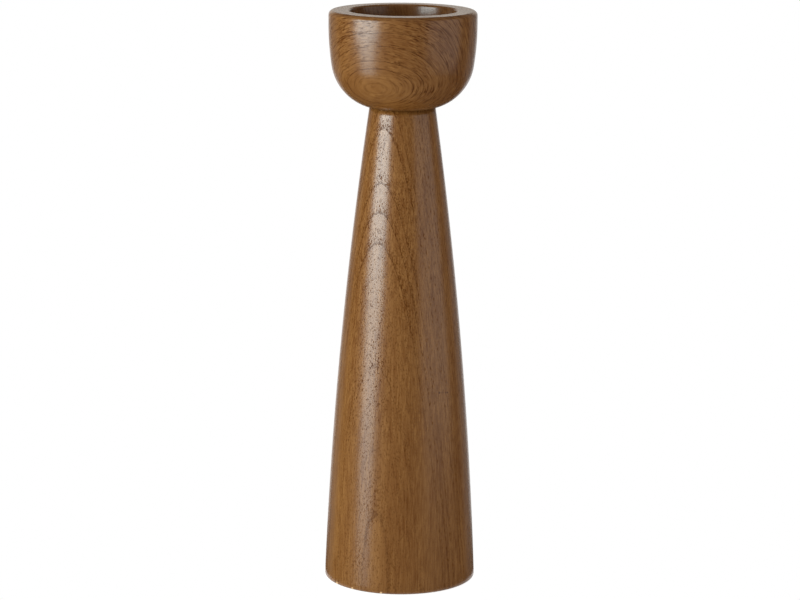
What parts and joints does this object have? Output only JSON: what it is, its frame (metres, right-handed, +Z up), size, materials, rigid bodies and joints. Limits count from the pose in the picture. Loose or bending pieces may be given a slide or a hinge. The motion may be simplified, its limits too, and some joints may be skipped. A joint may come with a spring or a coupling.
{
  "type": "candlestick",
  "caption": "Tall turned wooden candlestick: a tapered foot and stem with a bowl-shaped cup on top that holds a pillar candle in a lift-out metal liner.",
  "frame": {"origin": "centre of the face that the candlestick stands on, under the felt pad", "axes": "+Z up along the turning axis, from the foot to the cup; +X to the right and +Y away from the viewer in the picture"},
  "size_m": [0.0792, 0.0792, 0.3007],
  "materials": {
    "stem_wood": "satin varnished brown hardwood, upright grain with dark pores",
    "cup_wood": "satin varnished brown hardwood, curved growth rings with dark pores",
    "dowel_wood": "bare pale beech",
    "liner_steel": "spun steel with fine turning marks",
    "felt": "dark brown pressed felt"
  },
  "bodies": {
    "candlestick": {"stem": "stem_wood", "cup": "cup_wood", "joining_dowel": "dowel_wood", "felt_pad": "felt"},
    "liner": {"candle_liner": "liner_steel"}
  },
  "joints": [
    {"name": "liner_lift", "type": "slide", "parent": "candlestick", "child": "liner", "axis": [0, 0, 1], "range_m": [0, 0.04]}
  ]
}
